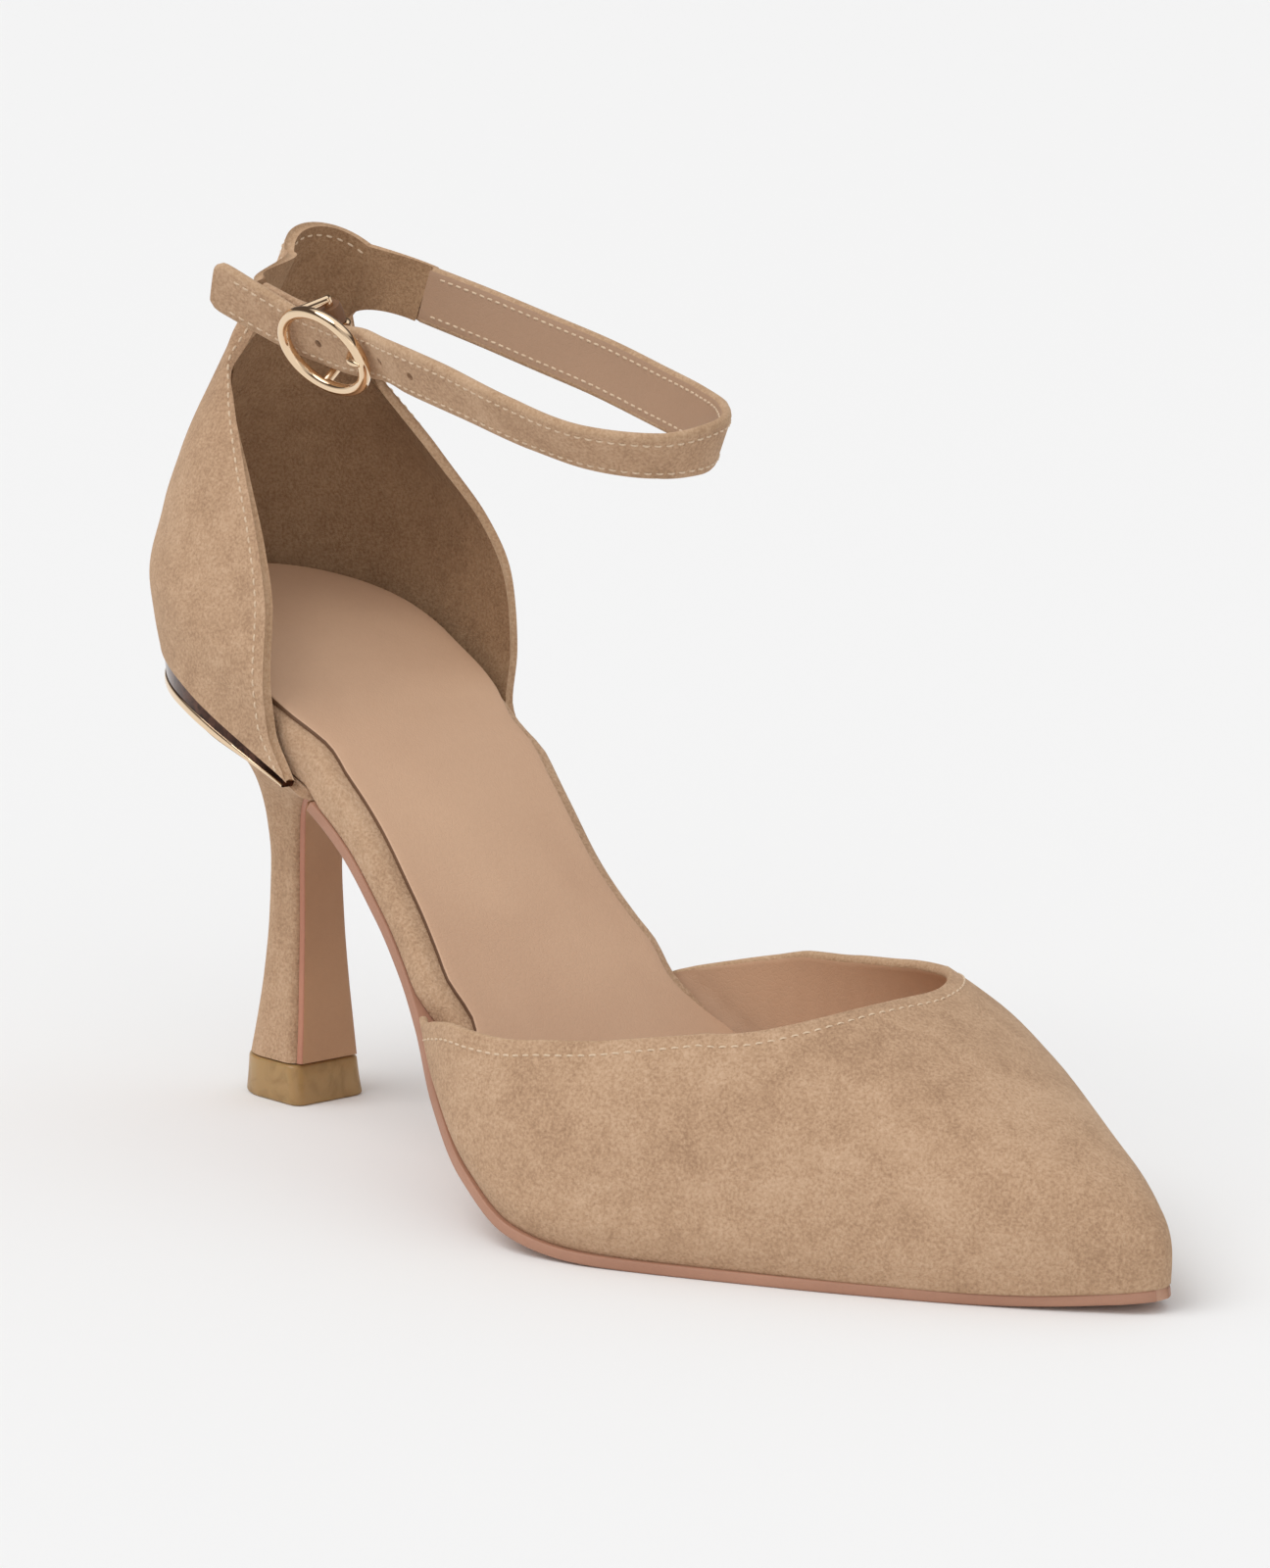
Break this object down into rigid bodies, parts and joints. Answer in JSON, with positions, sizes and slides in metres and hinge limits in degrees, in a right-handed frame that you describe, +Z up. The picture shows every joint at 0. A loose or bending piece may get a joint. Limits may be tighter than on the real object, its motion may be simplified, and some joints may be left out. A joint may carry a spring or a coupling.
{
  "type": "ankle strap pump",
  "caption": "High heeled suede pump with a pointed toe, closed heel cup, open waist and a buckled ankle strap.",
  "frame": {"origin": "centre of the footprint's bounding box, on the floor that the heel and the forefoot stand on", "axes": "+X from the heel to the toe, +Y to the inner (medial) side of the foot, +Z up"},
  "size_m": [0.2224, 0.088, 0.1541],
  "materials": {
    "outsole": "smooth pinkish brown sole leather, satin",
    "footbed": "sand suede wrapped round the board, matt nap",
    "sock_lining": "smooth pale tan lining leather, satin",
    "vamp": "sand suede, matt nap",
    "counter": "sand suede, matt nap",
    "heel_block": "sand suede over a moulded heel, matt nap",
    "heel_breast": "smooth pinkish brown sole leather, satin",
    "top_lift": "amber rubber, satin",
    "heel_plate": "pale gold mirror polish",
    "ankle_strap": "sand suede, matt nap",
    "buckle_billet": "sand suede, matt nap",
    "buckle_ring": "pale gold mirror polish",
    "buckle_prong": "pale gold mirror polish"
  },
  "bodies": {
    "root": {"outsole": "outsole", "footbed": "footbed", "sock_lining": "sock_lining", "vamp": "vamp", "counter": "counter", "heel_block": "heel_block", "heel_breast": "heel_breast", "top_lift": "top_lift", "heel_plate": "heel_plate", "ankle_strap": "ankle_strap", "buckle_billet": "buckle_billet", "buckle_ring": "buckle_ring", "buckle_prong": "buckle_prong"}
  },
  "joints": []
}
